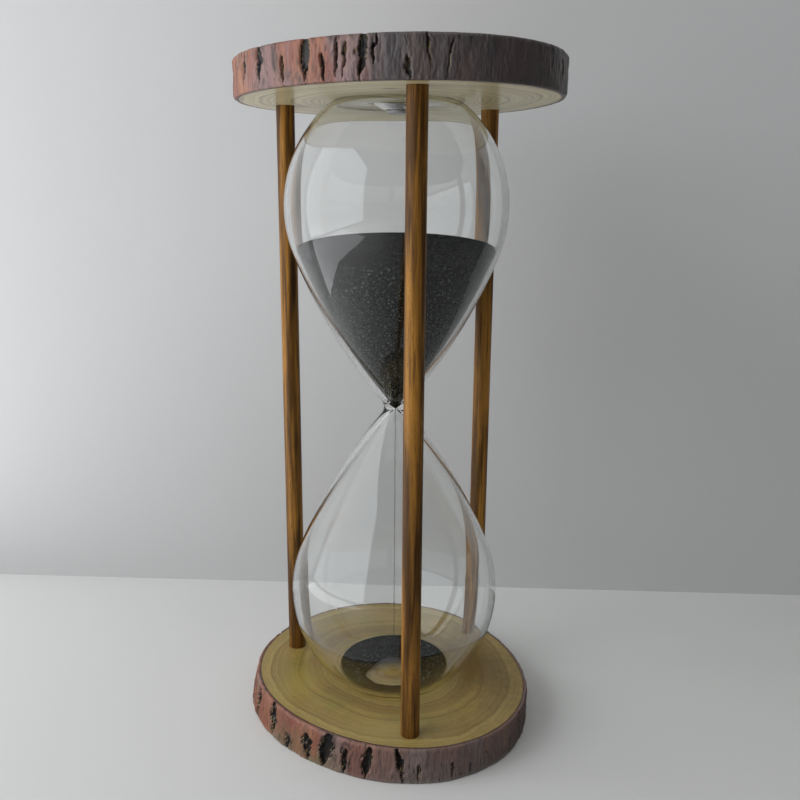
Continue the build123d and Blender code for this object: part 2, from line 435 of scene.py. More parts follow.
def dowelMaterial():
    material, tree, shader, place = freshMaterial("stainedDowel")
    grain = noiseValue(tree, drawnOut(tree, place, 0.035), 900.0, 4.0, 0.6)
    broad = noiseValue(tree, drawnOut(tree, place, 0.05), 260.0, 3.0, 0.55, 0.4)
    pores = noiseValue(tree, drawnOut(tree, place, 0.09), 2600.0, 2.0)
    blotch = noiseValue(tree, drawnOut(tree, place, 0.4), 60.0, 3.0)
    colour = mixColour(tree, band(tree, broad, 0.31, 0.63), dowelLook["honey"], dowelLook["brown"])
    colour = stained(tree, colour, band(tree, grain, 0.52, 0.68), 0.6, dowelLook["umber"])
    colour = stained(tree, colour, band(tree, pores, 0.60, 0.70), 0.55, dowelLook["umber"])
    colour = stained(tree, colour, band(tree, blotch, 0.5, 0.75), 0.35, dowelLook["brown"])
    height = total(tree, grain, product(tree, pores, 0.7))
    feed(tree, shader, Base_Color=colour, Roughness=wornGloss(tree, place, 0.45, 0.3)["Roughness"],
         Normal=bumped(tree, height, 0.35, dowelLook["grainDepth"]), Specular_IOR_Level=0.25)
    return material


glassLook = {
    "tint": (0.985, 0.995, 0.99),
    "shadowTint": (0.97, 0.985, 0.98),
    "index": 1.5,
    "smear": 0.01,
    "waveDepth": 0.6 * mm,
}


def glassMaterial():
    material, tree, shader, place = freshMaterial("blownGlass")
    wave = noiseValue(tree, drawnOut(tree, place, 0.35), 28.0, 2.0, 0.4)
    smear = band(tree, noiseValue(tree, place, 240.0, 4.0), 0.55, 0.9)
    feed(tree, shader, Base_Color=(*glassLook["tint"], 1), Transmission_Weight=1.0, IOR=glassLook["index"],
         Roughness=product(tree, smear, glassLook["smear"]),
         Normal=bumped(tree, wave, 0.06, glassLook["waveDepth"]))
    shadow = addNode(tree, "ShaderNodeLightPath").outputs["Is Shadow Ray"]
    clearWhere(tree, shader, shadow, glassLook["shadowTint"])
    return material


sandLook = {
    "black": (0.002, 0.0022, 0.002),
    "slate": (0.010, 0.0115, 0.010),
    "glint": (0.15, 0.165, 0.15),
    "dust": (0.018, 0.020, 0.017),
    "grainSize": 0.50 * mm,
    "grainDepth": 0.3 * mm,
}


def sandMaterial(name, dustShare):
    material, tree, shader, place = freshMaterial(name)
    scale = 1.0 / sandLook["grainSize"]
    cells = addNode(tree, "ShaderNodeTexVoronoi", {"Vector": place, "Scale": scale}).outputs
    tone = addNode(tree, "ShaderNodeSeparateColor", {0: cells["Color"]}).outputs["Red"]
    dust = band(tree, noiseValue(tree, place, 70.0, 3.0), 0.4, 0.7)
    colour = mixColour(tree, band(tree, tone, 0.25, 0.95), sandLook["black"], sandLook["slate"])
    colour = mixColour(tree, band(tree, tone, 0.88, 0.985), colour, sandLook["glint"])
    colour = stained(tree, colour, dust, dustShare, sandLook["dust"])
    rough = addNode(tree, "ShaderNodeMapRange", {"Value": tone, "To Min": 0.75, "To Max": 0.35})
    feed(tree, shader, Base_Color=colour, Roughness=rough.outputs["Result"], Specular_IOR_Level=0.0,
         Normal=bumped(tree, inverse(tree, cells["Distance"]), 0.9, sandLook["grainDepth"]))
    return material


stopperLook = {"dark": (0.34, 0.33, 0.37), "pale": (0.52, 0.51, 0.55), "depth": 0.1 * mm}


def stopperMaterial():
    material, tree, shader, place = freshMaterial("greyStopper")
    speck = noiseValue(tree, place, 1400.0, 3.0)
    feed(tree, shader, Base_Color=mixColour(tree, speck, stopperLook["dark"], stopperLook["pale"]),
         Roughness=wornGloss(tree, place, 0.6, 0.3)["Roughness"],
         Normal=bumped(tree, speck, 0.4, stopperLook["depth"]))
    return material


materials = {
    "sliver": sliverMaterial(),
    "dowel": dowelMaterial(),
    "glass": glassMaterial(),
    "sand": sandMaterial("blackSand", 0.35),
    "grain": sandMaterial("looseGrains", 0.6),
    "stopper": stopperMaterial(),
}
for which, look in slices.items():
    materials[f"{which}Bark"] = barkMaterial(f"{which}Bark", look["dusk"])
    materials[f"{which}Grain"] = endGrainMaterial(f"{which}EndGrain", look)
print("materials made:", len(materials))


# mesh building

def meshObject(name, verts, faces, material, smooth=True):
    mesh = bpy.data.meshes.new(name)
    mesh.from_pydata([tuple(v) for v in verts], [], faces)
    mesh.materials.append(material)
    if smooth:
        mesh.shade_smooth()
    mesh.update()
    made = bpy.data.objects.new(name, mesh)
    bpy.context.scene.collection.objects.link(made)
    return made


def pointValues(obj, **layers):
    for name, values in layers.items():
        layer = obj.data.attributes.new(name, "FLOAT", "POINT")
        layer.data.foreach_set("value", values)


def strip(low, high, columns):
    # quads between two rings, given by the first point of each
    return [(low + k, low + (k + 1) % columns, high + (k + 1) % columns, high + k) for k in range(columns)]


def ringFaces(rows, columns):
    return [quad for row in range(rows - 1) for quad in strip(row * columns, (row + 1) * columns, columns)]


def clamped(share):
    return max(0.0, min(1.0, share))


def turnFrom(degrees, angle):
    return (angle - math.radians(degrees) + math.pi) % math.tau - math.pi


# Geometry Nodes for what is strewn over a piece

def nodeTree(name, inputs):
    return freshTree(name, "GeometryNodeTree", {"Geometry": "Geometry", **inputs}, {"Geometry": "Geometry"})


def randomVector(tree, given, low, high):
    return addNode(tree, "FunctionNodeRandomValue", {0: low, 1: high, "Seed": given.outputs["Seed"]},
                   data_type="FLOAT_VECTOR").outputs[0]


def randomSize(tree, given, low, high):
    return addNode(tree, "FunctionNodeRandomValue", {2: low, 3: high, "Seed": given.outputs["Seed"]},
                   data_type="FLOAT").outputs[1]


def strewn(tree, given, mask):
    # points on the faces where the mesh's own mask lets them lie
    where = addNode(tree, "GeometryNodeInputNamedAttribute", {"Name": mask}, data_type="FLOAT").outputs[0]
    made = addNode(tree, "GeometryNodeDistributePointsOnFaces", {
        "Mesh": given.outputs["Geometry"], "Density": product(tree, where, given.outputs["Density"]),
        "Seed": given.outputs["Seed"]})
    return made.outputs["Points"]


def setOut(tree, given, out, inputs):
    # a real, painted copy of one small piece on each point
    placed = addNode(tree, "GeometryNodeInstanceOnPoints", inputs)
    real = addNode(tree, "GeometryNodeRealizeInstances", {0: placed.outputs[0]})
    painted = addNode(tree, "GeometryNodeSetMaterial", {
        "Geometry": real.outputs[0], "Material": given.outputs["Material"]})
    tree.links.new(painted.outputs[0], out.inputs[0])
    return tree


def runTree(obj, tree, values, name):
    # the evaluated result of a node tree as a plain mesh
    modifier = obj.modifiers.new(tree.name, "NODES")
    modifier.node_group = tree
    for item in tree.interface.items_tree:
        if item.item_type == "SOCKET" and item.in_out == "INPUT" and item.name in values:
            modifier[item.identifier] = values[item.name]
    graph = bpy.context.evaluated_depsgraph_get()
    mesh = bpy.data.meshes.new_from_object(obj.evaluated_get(graph))
    mesh.name = name
    obj.modifiers.clear()
    made = bpy.data.objects.new(name, mesh)
    bpy.context.scene.collection.objects.link(made)
    return made


# bark with its furrows

barkShape = {
    "columns": 1200,
    "rows": 40,
    "lipSteps": 5,
    "plates": 1.0 * mm,
    "ridges": 0.45 * mm,
    "deepest": 2.4 * mm,
    "rimRun": 1.6 * mm,
    "rimDrop": 0.7 * mm,
    "lipDip": 0.12 * mm,
    "leastInset": 0.02 * mm,
    "leastBark": 0.25 * mm,
    "plateScale": (0.10, 0.07),  # noise waves per mm, round and up
    "ridgeScale": (0.7, 0.22),
    "wanderScale": 0.22,
    "wander": 1.1,
    "tears": ((1.1, 0.30, 7.0, 0.6), (0.5, 1.2, 3.0, 0.35)),  # waves per mm round and up, layer, share
    "moss": {"way": -130, "half": 0.42, "rise": 1.15},  # degrees, radians, 1 / share of the height
    # painted shade on the dark side of the bough: half width and soft edge in degrees, share of red kept
    # along the upper edge
    "dusk": {"top": (86, 14, 0.0), "base": (98, 36, 0.38)},
    "duskWay": -22,
    "sliverRows": (0.08, 0.72),  # slivers keep clear of the sawn faces
    "sliverDepth": (0.45, 0.3),  # furrow depth where most stand, and how far from it they thin out
    "scattered": 30,
    "scatterFrom": -58,  # degrees
    "scatterSweep": 240,
    "furrowPlan": {
        # angle in degrees, middle as a share of the height, half length and half width in mm, depth share
        "top": ((-172, 0.55, 6.0, 1.0, 0.8), (-166, 0.5, 7.5, 1.2, 0.9), (-157, 0.55, 7.0, 1.6, 0.9),
                (-146, 0.60, 7.6, 2.0, 1.0), (-133, 0.36, 5.5, 0.9, 0.9), (-123, 0.52, 8.8, 2.4, 1.0),
                (-116, 0.34, 5.0, 1.0, 0.9), (-111, 0.55, 7.0, 0.6, 0.7), (-108, 0.45, 6.5, 0.5, 0.7),
                (-102, 0.52, 8.8, 1.9, 1.0), (-98, 0.66, 5.0, 0.6, 0.7), (-88, 0.25, 4.2, 1.0, 0.8),
                (-82, 0.6, 6.0, 0.45, 0.6), (-76, 0.45, 7.0, 0.4, 0.55)),
        "base": ((-172, 0.5, 6.5, 1.6, 0.9), (-164, 0.45, 7.5, 2.2, 1.0), (-149, 0.45, 8.6, 2.6, 1.0),
                 (-138, 0.20, 4.0, 3.0, 0.6), (-127, 0.35, 6.5, 3.0, 0.9), (-118, 0.45, 8.6, 4.0, 1.0),
                 (-109, 0.35, 6.0, 2.0, 0.8), (-100, 0.42, 8.0, 2.6, 1.0), (-87, 0.50, 7.6, 1.8, 0.9),
                 (-80, 0.35, 4.0, 1.0, 0.5), (-68, 0.3, 4.0, 1.2, 0.5)),
    },
}


def furrowList(which, seed):
    # the furrows of the front, then scattered ones round the rest, shallow where the bark is painted in shade
    draw = random.Random(seed)
    labels = ("angle", "middle", "length", "width", "depth")
    plan = [dict(zip(labels, row)) for row in barkShape["furrowPlan"][which]]
    count = barkShape["scattered"]
    for k in range(count):
        angle = barkShape["scatterFrom"] + barkShape["scatterSweep"] * (k + draw.uniform(0.1, 0.9)) / count
        depth = 0.15 + 0.8 * clamped((angle - 5) / 60) * draw.uniform(0.5, 1.0)
        plan.append({"angle": angle, "middle": draw.uniform(0.3, 0.7), "length": draw.uniform(3.5, 8.5),
                     "width": draw.uniform(0.6, 2.4), "depth": depth})
    for row in plan:
        row["lean"] = draw.uniform(-0.18, 0.18)
    return plan


def furrowDepth(plan, angle, height, thickness, reach, seed):
    # 0 on the plate of the bark, 1 at the bottom of a full furrow
    around, up, scale = angle * reach / mm, height / mm, barkShape["wanderScale"]
    wander = noise.fractal(Vector((around * scale, up * scale, seed)), 1.0, 2.0, 3)
    tear = sum(noise.noise(Vector((around * x, up * y, seed + layer))) * share
               for x, y, layer, share in barkShape["tears"])
    deepest = 0.0
    for row in plan:
        along = (height - row["middle"] * thickness) / (row["length"] * mm)
        if abs(along) >= 1.15:
            continue
        across = turnFrom(row["angle"], angle) * reach / mm - row["lean"] * along * row["length"]
        if abs(across) > row["width"] * 2.5 + 2.5:
            continue
        half = row["width"] * max(0.0, 1 - abs(along - 0.25) ** 1.3 / 1.25) + 0.12  # widest over the middle
        edge = abs(across + wander * barkShape["wander"]) / half + tear
        deepest = max(deepest, row["depth"] * clamped((1.3 - edge) / 0.8))
    return deepest


def mossCover(which, angle, share):
    # greenish crust low on the front left of the base
    moss = barkShape["moss"]
    if which != "base":
        return 0.0
    turn = turnFrom(moss["way"], angle)
    return max(0.0, 1 - (turn / moss["half"]) ** 2) * max(0.0, 1 - share * moss["rise"])


def duskCover(which, angle, share):
    # painted shade on the dark side of the bough, from the front to the right
    half, soft, redEdge = barkShape["dusk"][which]
    turn = turnFrom(barkShape["duskWay"], angle)
    return clamped((math.radians(half) - abs(turn)) / math.radians(soft)) * (1 - redEdge * share)


def barkNoise(around, height, scale, octaves, seed):
    flat, up = scale
    spot = Vector((around.x * flat, around.y * flat, height / mm * up + seed))
    return 0.5 + 0.5 * noise.fractal(spot, 1.0, 2.0, octaves)


def barkPiece(which, node, look):
    low, high = (Vector(corner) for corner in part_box(node))
    thickness = high.z - low.z
    columns, rows, lipSteps = barkShape["columns"], barkShape["rows"], barkShape["lipSteps"]
    meanRadius, shift, seed = look["radius"], look["shift"], look["seed"]
    plan = furrowList(which, seed)
    angles = [math.tau * k / columns for k in range(columns)]
    verts, furrow, lip, moss, dusk = [], [], [], [], []

    def put(reach, angle, level, deep, inner, cover):
        verts.append((shift + reach * math.cos(angle), reach * math.sin(angle), level))
        furrow.append(deep)
        lip.append(inner)
        moss.append(cover)
        # mask of the painted shade on the bark's dark side
        dusk.append(duskCover(which, angle, (level - low.z) / thickness))

    outer = []
    for row in range(rows):
        share = row / (rows - 1)
        height = thickness * share
        for angle in angles:
            facing = 0.5 + 0.5 * math.cos(angle - math.radians(bough["flareWay"]))
            swell = look["flare"] * facing ** 2 * (1 - share)
            reach = boughReach(angle, meanRadius) + swell
            deep = furrowDepth(plan, angle, height, thickness, reach, seed)
            around = Vector((math.cos(angle), math.sin(angle), 0)) * reach / mm
            rim = max(0.0, 1 - min(share, 1 - share) * thickness / barkShape["rimRun"])
            inset = barkNoise(around, height, barkShape["plateScale"], 4, seed) * barkShape["plates"]
            inset += barkNoise(around, height, barkShape["ridgeScale"], 3, seed) * barkShape["ridges"]
            inset += deep * barkShape["deepest"] + rim ** 2 * barkShape["rimDrop"]
            mostInset = bough["barkThickness"] - barkShape["leastBark"] + swell
            reach -= max(barkShape["leastInset"], min(inset, mostInset))
            outer.append(reach)
            put(reach, angle, low.z + height, deep, 0.0, mossCover(which, angle, height / thickness))
    faces = ringFaces(rows, columns)
    innerRings = []
    for outerRow, way, face in ((0, 1, low.z), (rows - 1, -1, high.z)):
        previous = outerRow * columns
        for step in range(1, lipSteps + 1):
            start = len(verts)
            share = step / lipSteps
            for k, angle in enumerate(angles):
                inner = boughReach(angle, meanRadius) - bough["barkThickness"]
                rimReach = outer[outerRow * columns + k]
                reach = rimReach + (inner - rimReach) * share
                spot = Vector((reach * math.cos(angle), reach * math.sin(angle), seed * mm)) / mm
                dip = barkShape["lipDip"] * (0.5 + 0.5 * noise.noise(spot * 0.8)) if step < lipSteps else 0.0
                put(reach, angle, face + way * dip, furrow[outerRow * columns + k] * (1 - share), share, 0.0)
            faces += [quad if way < 0 else quad[::-1] for quad in strip(previous, start, columns)]
            previous = start
        innerRings.append(previous)
    foot, brim = innerRings
    faces += strip(brim, foot, columns)
    piece = meshObject(f"{which}_bark_skin", verts, faces, materials[f"{which}Bark"])
    first, last = (int(rows * share) * columns for share in barkShape["sliverRows"])
    most, thinning = barkShape["sliverDepth"]
    torn = [max(0.0, 1 - abs(value - most) / thinning) if first <= k < last else 0.0
            for k, value in enumerate(furrow)]
    pointValues(piece, furrow=furrow, lip=lip, moss=moss, dusk=dusk, splinter=torn)
    return piece


def sliverTree():
    # slivers of torn bast that stand along the lips of the furrows
    tree, given, out = nodeTree("barkSplinters", {
        "Density": "Float", "Length": "Float", "Thickness": "Float", "Seed": "Int", "Material": "Material"})
    sliver = addNode(tree, "GeometryNodeMeshCone", {
        "Vertices": 4, "Radius Top": 0.0, "Radius Bottom": given.outputs["Thickness"],
        "Depth": given.outputs["Length"]})
    return setOut(tree, given, out, {
        "Points": strewn(tree, given, "splinter"), "Instance": sliver.outputs["Mesh"],
        "Rotation": randomVector(tree, given, (-0.22, -0.22, -3.1), (0.22, 0.22, 3.1)),
        "Scale": randomSize(tree, given, 0.35, 1.0)})


barkSlivers = sliverTree()
sliverSize = {"Density": 160000.0, "Length": 3.6 * mm, "Thickness": 0.14 * mm}
for which, look in slices.items():
    skin = barkPiece(which, f"{which}_bark", look)
    slivers = runTree(skin, barkSlivers, {
        **sliverSize, "Seed": look["seed"], "Material": materials["sliver"]}, f"{which}_bark_splinters")
    for piece in (skin, slivers):
        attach(piece, "frame")
    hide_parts(f"{which}_bark")
    print(which, "bark:", len(skin.data.polygons), "faces,", len(slivers.data.polygons), "splinter faces")

# glass vessel and what is in it, drawn over the neck

vessel = {
    "bulbRadius": 56.5 * mm,
    "bellyHeight": 103.0 * mm,
    "bellyCurve": 65.5 * mm,
    "flankCurve": 280.0 * mm,
    "shoulderCurve": 18.0 * mm,
    "neckRadius": 6.2 * mm,
    "throatCurve": 6.0 * mm,
    "boreRadius": 0.9 * mm,
    "pinchCurve": 2.5 * mm,
    "wall": 2.0 * mm,
    "puntRadius": 12.0 * mm,
    "puntHeight": 4.5 * mm,
    "holeRadius": 4.5 * mm,
    "columns": 192,
    "steps": {"throat": 10, "flank": 40, "belly": 40, "shoulder": 14, "flat": 3, "punt": 10},
}
vesselBox = [Vector(corner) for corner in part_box("glass_vessel")]
neckLevel = (vesselBox[0].z + vesselBox[1].z) / 2
halfLength = (vesselBox[1].z - vesselBox[0].z) / 2


def puntBall():
    # radius of the ball that pushes in the end, and the height of its centre
    ball = (vessel["puntRadius"] ** 2 + vessel["puntHeight"] ** 2) / (2 * vessel["puntHeight"])
    return ball, halfLength - vessel["puntHeight"] + ball


def bulbArcs(inset):
    # centres and radii of the arcs, on the outside or an inset inside it
    if inset > 0:
        throatCurve = vessel["pinchCurve"] + inset - vessel["wall"]
        throat = Vector((vessel["boreRadius"] + vessel["pinchCurve"], 0))
    else:
        throatCurve = vessel["throatCurve"]
        throat = Vector((vessel["neckRadius"] + vessel["throatCurve"], 0))
    bellyCurve = vessel["bellyCurve"] - inset
    flankCurve = vessel["flankCurve"] - inset
    belly = Vector((vessel["bulbRadius"] - vessel["bellyCurve"], vessel["bellyHeight"]))
    rise = halfLength - vessel["shoulderCurve"] - vessel["bellyHeight"]
    run = math.sqrt((vessel["bellyCurve"] - vessel["shoulderCurve"]) ** 2 - rise ** 2)
    shoulder = Vector((belly.x + run, halfLength - vessel["shoulderCurve"]))
    # the flank's centre lies where two circles round the belly's and the throat's centres cross
    toBelly, toThroat = flankCurve - bellyCurve, flankCurve + throatCurve
    apart = (throat - belly).length
    foot = (toBelly ** 2 - toThroat ** 2 + apart ** 2) / (2 * apart)
    offset = math.sqrt(toBelly ** 2 - foot ** 2)
    way = (throat - belly) / apart
    flank = belly + foot * way + offset * Vector((way.y, -way.x))
    return throat, flank, belly, shoulder, throatCurve, flankCurve, bellyCurve


def arcPoints(centre, start, end, steps):
    first = math.atan2(start.y - centre.y, start.x - centre.x)
    last = math.atan2(end.y - centre.y, end.x - centre.x)
    turn = (last - first + math.pi) % math.tau - math.pi
    radius = (start - centre).length
    return [centre + radius * Vector((math.cos(first + turn * k / steps), math.sin(first + turn * k / steps)))
            for k in range(1, steps + 1)]


def bulbProfile(inset, stopRadius=0.0):
    # points from the neck to the pushed-in end, as radius and height over the neck
    throat, flank, belly, shoulder, throatCurve, flankCurve, bellyCurve = bulbArcs(inset)
    ball, ballHeight = puntBall()
    ballCentre = Vector((0, ballHeight))
    ball += inset
    level = halfLength - inset
    neck = Vector((throat.x - throatCurve, 0))
    flankStart = flank + (throat - flank).normalized() * flankCurve
    flankEnd = flank + (belly - flank).normalized() * flankCurve
    bellyEnd = belly + (shoulder - belly).normalized() * bellyCurve
    flatStart = Vector((shoulder.x, level))
    flatEnd = Vector((math.sqrt(ball ** 2 - (ballCentre.y - level) ** 2), level))
    stop = Vector((stopRadius, ballCentre.y - math.sqrt(ball ** 2 - stopRadius ** 2)))
    steps = vessel["steps"]
    points = [neck]
    points += arcPoints(throat, neck, flankStart, steps["throat"])
    points += arcPoints(flank, flankStart, flankEnd, steps["flank"])
    points += arcPoints(belly, flankEnd, bellyEnd, steps["belly"])
    points += arcPoints(shoulder, bellyEnd, flatStart, steps["shoulder"])
    points += [flatStart.lerp(flatEnd, k / steps["flat"]) for k in range(1, steps["flat"] + 1)]
    points += arcPoints(ballCentre, flatEnd, stop, steps["punt"])
    return points


def lathe(name, profile, material, columns):
    # a closed section turned about the vessel's axis; points on the axis become one pole
    verts, faces, starts = [], [], []
    for point in profile:
        pole = point.x < 1e-7
        starts.append((len(verts), pole))
        if pole:
            verts.append((0, 0, point.y))
        else:
            for k in range(columns):
                angle = math.tau * k / columns
                verts.append((point.x * math.cos(angle), point.x * math.sin(angle), point.y))
    for (low, lowPole), (high, highPole) in zip(starts, starts[1:] + starts[:1]):
        if lowPole and highPole:
            continue
        if lowPole:
            faces += [(low, high + (k + 1) % columns, high + k) for k in range(columns)]
        elif highPole:
            faces += [(low + k, low + (k + 1) % columns, high) for k in range(columns)]
        else:
            faces += strip(low, high, columns)
    return meshObject(name, verts, faces, material)


def atNeck(points, way=1):
    return [Vector((point.x, neckLevel + way * point.y)) for point in points]


def glassPiece():
    hole = vessel["holeRadius"]
    outsideFoot = atNeck(bulbProfile(0.0), -1)[::-1]
    outsideTop = atNeck(bulbProfile(0.0, hole))[1:]
    insideTop = atNeck(bulbProfile(vessel["wall"], hole))[::-1]
    insideFoot = atNeck(bulbProfile(vessel["wall"]), -1)[1:]
    section = outsideFoot + outsideTop + insideTop + insideFoot
    return lathe("blown_vessel", section, materials["glass"], vessel["columns"])


sandGap = 0.15 * mm  # between the sand and the glass

upperSand = {
    "level": 83.0 * mm,
    "tilt": 6.5,
    "columns": 192,
    "flankRows": 60,
    "topRows": 40,
    "crowding": 1.25,  # flank rows lie closer towards the neck
    "waves": 0.55 * mm,
    "waveScale": 70,
    "crumbs": 0.12 * mm,
    "crumbScale": 900,
    "rimFade": 8,
    "dish": 0.9 * mm,
    "grainsWithin": 0.96,
    "rimGuess": 50 * mm,
    "rimTries": 30,
}


def fillRadius(height, profile):
    # inside radius for the sand at a height over the neck
    for low, high in zip(profile, profile[1:]):
        if low.y <= height <= high.y:
            return low.x + (high.x - low.x) * (height - low.y) / max(high.y - low.y, 1e-9)
    return profile[-1].x


def sandSurface(y):
    return upperSand["level"] + y * math.tan(math.radians(upperSand["tilt"]))


def upperSandPiece():
    steps = vessel["steps"]
    shoulderStart = 1 + steps["throat"] + steps["flank"] + steps["belly"]
    profile = bulbProfile(vessel["wall"] + sandGap)[:shoulderStart + 1]
    columns, flankRows, topRows = upperSand["columns"], upperSand["flankRows"], upperSand["topRows"]
    angles = [math.tau * k / columns for k in range(columns)]
    verts, mask, rims = [], [], []
    for angle in angles:
        # where the tilted surface meets the glass
        reach = upperSand["rimGuess"]
        for _ in range(upperSand["rimTries"]):
            reach = fillRadius(sandSurface(reach * math.sin(angle)), profile)
        rims.append((angle, reach, sandSurface(reach * math.sin(angle))))
    for row in range(flankRows + 1):
        share = (row / flankRows) ** upperSand["crowding"]
        for angle, _, top in rims:
            radius = fillRadius(top * share, profile)
            verts.append((radius * math.cos(angle), radius * math.sin(angle), neckLevel + top * share))
            mask.append(0.0)
    faces = ringFaces(flankRows + 1, columns)
    last = flankRows * columns
    for row in range(1, topRows):
        share = 1 - row / topRows
        start = len(verts)
        for angle, reach, _ in rims:
            x, y = reach * share * math.cos(angle), reach * share * math.sin(angle)
            fade = min(1.0, (1 - share) * upperSand["rimFade"])
            spot = Vector((x, y, 0.02)) * upperSand["waveScale"]
            waves = noise.fractal(spot, 1.0, 2.0, 3) * upperSand["waves"]
            crumbs = noise.noise(Vector((x, y, 0.5)) * upperSand["crumbScale"]) * upperSand["crumbs"]
            dish = -upperSand["dish"] * (1 - share * share)
            verts.append((x, y, neckLevel + sandSurface(y) + (waves + crumbs) * fade + dish))
            mask.append(1.0 if share < upperSand["grainsWithin"] else 0.0)
        faces += strip(last, start, columns)
        last = start
    middle = len(verts)
    verts.append((0, 0, neckLevel + sandSurface(0) - upperSand["dish"]))
    mask.append(1.0)
    faces += [(last + k, last + (k + 1) % columns, middle) for k in range(columns)]
    faces.append(tuple(range(columns))[::-1])
    piece = meshObject("sand_above", verts, faces, materials["sand"])
    pointValues(piece, scatter=mask)
    return piece


lowerSand = {
    "depth": 1.6 * mm,
    "bareMiddle": Vector((0, -10.0)) * mm,
    "bareAcross": 15.5 * mm,
    "bareAlong": 11.5 * mm,
    "bareWobble": 0.05,
    "wobbleScale": 2.2,
    "slopeRun": 3.0 * mm,
    "cover": 0.35 * mm,
    "waves": 0.25 * mm,
    "waveScale": 110,
    "rimFade": 8,
    "columns": 288,
    "topRows": 48,
    "footRows": 10,
    "grainsWithin": (0.05, 0.94),
}


def lowerSandPiece():
    # a thin ring that the fall has heaped over the far side of the pushed-up end; its near side lies bare
    look = lowerSand
    profile = bulbProfile(vessel["wall"] + sandGap)
    floor = halfLength - vessel["wall"] - sandGap
    level = floor - look["depth"]
    rim = max(p.x for p in profile if p.y >= level)
    ball, ballHeight = puntBall()
    ball += vessel["wall"] + sandGap
    columns, topRows, footRows = look["columns"], look["topRows"], look["footRows"]

    def glassLevel(radius):
        # the sand's underside over the glass, measured down from the neck
        if radius < ball:
            dome = ballHeight - math.sqrt(ball ** 2 - radius ** 2)
            if dome < floor:
                return dome
        for p, q in zip(profile, profile[1:]):
            if p.y > level - 1 * mm and p.x >= radius >= q.x and p.x > vessel["puntRadius"] * 1.3:
                return min(floor, p.y + (q.y - p.y) * (p.x - radius) / max(p.x - q.x, 1e-9))
        return floor

    verts, mask, rays = [], [], []
    for k in range(columns):
        # from the edge of the bare patch straight out to the rim
        angle = math.tau * k / columns
        way = Vector((math.cos(angle), math.sin(angle)))
        spot = Vector((way.x * look["wobbleScale"], way.y * look["wobbleScale"], 4.0))
        wobble = 1 + look["bareWobble"] * noise.noise(spot)
        start = look["bareMiddle"] + Vector((look["bareAcross"] * way.x, look["bareAlong"] * way.y)) * wobble
        stretch = start.dot(way)
        reach = -stretch + math.sqrt(stretch ** 2 - start.length_squared + rim ** 2)
        rays.append((start, start + reach * way))

    def layFoot(share):
        for start, end in rays:
            spot = start.lerp(end, share)
            verts.append((spot.x, spot.y, neckLevel - glassLevel(spot.length)))
            mask.append(0.0)

    def layTop(share):
        first, last = look["grainsWithin"]
        for start, end in rays:
            spot = start.lerp(end, share)
            glassAt = glassLevel(spot.length)
            depth = min(1.0, share * (end - start).length / look["slopeRun"])
            fade = min(1.0, look["rimFade"] * min(share, 1 - share))
            waves = noise.fractal(Vector((spot.x, spot.y, 0.9)) * look["waveScale"], 1.0, 2.0, 3)
            waves *= look["waves"] * fade
            surface = min(level, glassAt - look["cover"])
            top = glassAt + (surface - glassAt) * math.sqrt(depth) - waves * depth
            verts.append((spot.x, spot.y, neckLevel - min(top, glassAt)))
            mask.append(1.0 if first < share < last else 0.0)

    for row in range(topRows + 1):
        layTop(row / topRows)
    for row in range(footRows - 1, 0, -1):
        layFoot(row / footRows)
    rows = topRows + footRows
    faces = [quad[::-1] for quad in ringFaces(rows, columns)]
    faces += strip(0, (rows - 1) * columns, columns)
    piece = meshObject("sand_below", verts, faces, materials["sand"])
    pointValues(piece, scatter=mask)
    return piece


looseGrain = {"Density": 700000.0, "Grain": 0.24 * mm}
stream = {"count": 420, "spread": 0.26 * mm, "grainShare": 0.9, "seed": 3}


def grainTree():
    # loose grains that lie on a sand surface
    tree, given, out = nodeTree("looseGrains", {
        "Density": "Float", "Grain": "Float", "Seed": "Int", "Material": "Material"})
    grain = addNode(tree, "GeometryNodeMeshIcoSphere", {"Radius": given.outputs["Grain"], "Subdivisions": 1})
    return setOut(tree, given, out, {
        "Points": strewn(tree, given, "scatter"), "Instance": grain.outputs["Mesh"],
        "Rotation": randomVector(tree, given, (0, 0, 0), (6.2, 6.2, 6.2)),
        "Scale": randomVector(tree, given, (0.6, 0.6, 0.45), (1.2, 1.2, 1.0))})


def streamTree():
    # grains that fall in a thin thread from the neck
    tree, given, out = nodeTree("fallingGrains", {
        "Count": "Int", "Start": "Vector", "Drop": "Vector", "Spread": "Float", "Grain": "Float",
        "Seed": "Int", "Material": "Material"})
    line = addNode(tree, "GeometryNodeMeshLine", {
        "Count": given.outputs["Count"], "Start Location": given.outputs["Start"],
        "Offset": given.outputs["Drop"]}, mode="OFFSET")
    sway = randomVector(tree, given, (-1, -1, -1), (1, 1, 1))
    shift = addNode(tree, "ShaderNodeVectorMath", {0: sway, 3: given.outputs["Spread"]}, operation="SCALE")
    moved = addNode(tree, "GeometryNodeSetPosition", {
        "Geometry": line.outputs[0], "Offset": shift.outputs[0]})
    grain = addNode(tree, "GeometryNodeMeshIcoSphere", {"Radius": given.outputs["Grain"], "Subdivisions": 1})
    return setOut(tree, given, out, {
        "Points": moved.outputs[0], "Instance": grain.outputs["Mesh"],
        "Scale": randomSize(tree, given, 0.6, 1.2)})


looseGrains = grainTree()
fallingGrains = streamTree()

glass = glassPiece()
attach(glass, "vessel")
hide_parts("glass_vessel")

above = upperSandPiece()
below = lowerSandPiece()
for body, node, seed in ((above, "upper_sand", 5), (below, "lower_sand", 8)):
    crumbs = runTree(body, looseGrains, {
        **looseGrain, "Seed": seed, "Material": materials["grain"]}, f"{node}_grains")
    for piece in (body, crumbs):
        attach(piece, "vessel")
    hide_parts(node)
    print(node, "grains:", len(crumbs.data.polygons), "faces")

